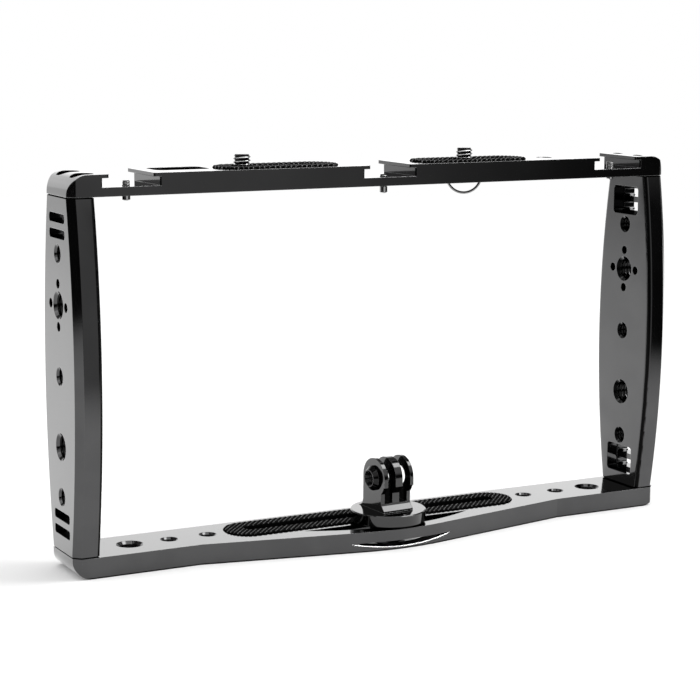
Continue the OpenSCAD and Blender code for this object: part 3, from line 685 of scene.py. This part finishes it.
def ribbed_pad(name, node, length, centre_x, slot_l, slot_x, material):
    """A pad whose outline and slot are toothed by the cords that run across it."""
    low, high = span_of(node, Z)
    columns = int((2 * (length - PAD_W) + math.pi * PAD_W) / MESH_STEP)
    across = max(16, int((PAD_W - PAD_SLOT_W) / 2 / MESH_STEP))
    sections = []
    for x, y in stadium(length, PAD_W, centre_x, columns):
        rim = Vector(bitten(x, y) if node == "tray_pad" else (x, y))
        slot = Vector(slot_point(rim.x, rim.y, slot_l, PAD_SLOT_W, slot_x))
        sections.append(pad_section(rim, slot, low, high, across))
    rows = list(zip(*sections))
    faces = ring_faces(len(rows), columns)
    last = (len(rows) - 1) * columns
    for j in range(columns):
        k = (j + 1) % columns
        faces.append((last + j, last + k, k, j))
    pad = make_object(name, [point for row in rows for point in row], faces, material)
    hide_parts(node)
    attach(pad, "frame")


for side_name, s in (("left", -1), ("right", 1)):
    ribbed_pad(side_name + "_ribbed_camera_pad", side_name + "_camera_pad", CAMERA_PAD_L, s * CAMERA_PAD_X,
               CAMERA_SLOT_L, s * CAMERA_SLOT_X, CAMERA_RUBBER)
ribbed_pad("ribbed_tray_pad", "tray_pad", TRAY_PAD_L, 0.0, TRAY_SLOT_L, 0.0, TRAY_RUBBER)


# Surroundings, with their places in metres
WHITE = (1, 1, 1, 1)
PAPER_TONE, PAPER_GLOW, PAPER_MIRROR_GLOW = 0.86, 0.12, 0.25
# How much darker the room is in a reflection of a reflection, and the ceiling in a reflection
TWICE_DARK, CEILING_DARK = 0.85, 0.85
# Ways from the object: to the dim window in front of it, and to the near side of the floor
WINDOW_WAY, NEAR_WAY = (0.087, -0.996, 0.0), (0.2, -0.98, 0.0)
FLOOR_R, FLOOR_Z = 3.0, -0.00005


def mirrored_twice(tools, paths):
    """How much darker a thing is in a reflection of a reflection."""
    return tools.times(tools.math("GREATER_THAN", paths["Glossy Depth"], 1.5), TWICE_DARK)


def studio():
    """The room: dark in front of the object near the horizon, apart from a dim window straight ahead, and
    bright on the ceiling and on the white sweep behind it."""
    world = bpy.data.worlds.new("studio")
    bpy.context.scene.world = world
    world.use_nodes = True
    tools = Nodes(world.node_tree)
    paths = tools.add("ShaderNodeLightPath").outputs
    direction = tools.add("ShaderNodeTexCoord").outputs["Generated"]
    towards = tools.parts(direction)
    facing = tools.vector("DOT_PRODUCT", direction, (-forward.x, -forward.y, 0.0))
    room = tools.math("MAXIMUM", tools.span(facing, -0.7, 0.25), tools.span(towards["X"], 0.55, 0.85))
    low = tools.span(towards["Z"], 0.40, 0.12)
    window = tools.span(tools.vector("DOT_PRODUCT", direction, WINDOW_WAY), 0.85, 0.955, 0.0, 0.5)
    dark = tools.times(room, low, tools.opposite(window))
    strength = tools.span(dark, 0.0, 1.0, 1.0, 0.02, smooth=False)
    strength = tools.times(strength, tools.opposite(mirrored_twice(tools, paths)))
    # Above the sweep behind the object the ceiling is dim in mirrored rays
    ceiling = tools.times(tools.span(towards["Z"], 0.28, 0.48), tools.span(towards["Y"], -0.05, 0.3))
    dim = tools.times(ceiling, paths["Is Glossy Ray"], CEILING_DARK)
    lit = tools.math("SUBTRACT", tools.opposite(tools.times(paths["Is Diffuse Ray"], 0.25)), dim)
    seen = tools.math("MAXIMUM", paths["Is Camera Ray"], tools.times(strength, lit))
    background = tools.add("ShaderNodeBackground", {"Color": WHITE, "Strength": seen})
    tools.add("ShaderNodeOutputWorld", {"Surface": background.outputs[0]})


def paper():
    """Pale paper that fades out far away and towards the camera, and is clear when it is seen from below."""
    material, tools = new_material("pale paper")
    paths = tools.add("ShaderNodeLightPath").outputs
    geometry = tools.add("ShaderNodeNewGeometry").outputs
    place = geometry["Position"]
    diffuse = tools.add("ShaderNodeBsdfDiffuse", {"Color": grey(PAPER_TONE)})
    seen = tools.times(paths["Is Camera Ray"], PAPER_GLOW)
    mirrored = tools.times(paths["Is Glossy Ray"], PAPER_MIRROR_GLOW)
    glow = tools.add("ShaderNodeEmission", {"Color": WHITE, "Strength": tools.math("ADD", seen, mirrored)})
    sheet = tools.add("ShaderNodeAddShader", {0: diffuse.outputs[0], 1: glow.outputs[0]})
    far = tools.span(tools.vector("LENGTH", place), 0.55, 1.6)
    near = tools.span(tools.vector("DOT_PRODUCT", place, NEAR_WAY), 0.14, 0.40)
    beneath = tools.times(geometry["Backfacing"], paths["Is Camera Ray"])
    gone = tools.math("MAXIMUM", tools.math("MAXIMUM", far, near), beneath)
    gone = tools.math("MAXIMUM", gone, mirrored_twice(tools, paths))
    clear = tools.add("ShaderNodeBsdfTransparent")
    fade = tools.add("ShaderNodeMixShader", {0: gone, 1: sheet.outputs[0], 2: clear.outputs[0]})
    tools.add("ShaderNodeOutputMaterial", {"Surface": fade.outputs[0]})
    return material


def floor_sheet():
    """A round sheet of paper under the object."""
    mesh = bpy.data.meshes.new("floor")
    shape = bmesh.new()
    bmesh.ops.create_circle(shape, cap_ends=True, segments=128, radius=FLOOR_R)
    shape.to_mesh(mesh)
    shape.free()
    mesh.materials.append(paper())
    sheet = new_object("floor", mesh)
    sheet.location = (0.0, 0.0, FLOOR_Z)


def softbox(name, at, aim, size, power):
    """A rectangular lamp that looks at a point and isn't seen itself."""
    data = bpy.data.lights.new(name, "AREA")
    data.shape, data.size, data.size_y, data.energy = "RECTANGLE", size[0], size[1], power
    lamp = new_object(name, data)
    lamp.location = at
    lamp.visible_camera = False
    lamp.rotation_mode = "QUATERNION"
    lamp.rotation_quaternion = (Vector(aim) - Vector(at)).to_track_quat("-Z", "Y")


studio()
floor_sheet()
softbox("top softbox", at=(0.0, 0.05, 1.3), aim=(0, 0.05, 0), size=(1.6, 1.1), power=4.0)
softbox("front softbox", at=(0.72, -0.3, 1.3), aim=(0, 0, 0.05), size=(0.5, 1.1), power=11.0)
softbox("left softbox", at=(-1.3, 0.35, 0.8), aim=(0, 0, 0.05), size=(0.9, 0.9), power=3.0)
softbox("rear softbox", at=(0.5, 2.2, 0.75), aim=(0, 0, 0.1), size=(3.2, 1.2), power=4.0)

bpy.context.scene.view_settings.view_transform = "Standard"
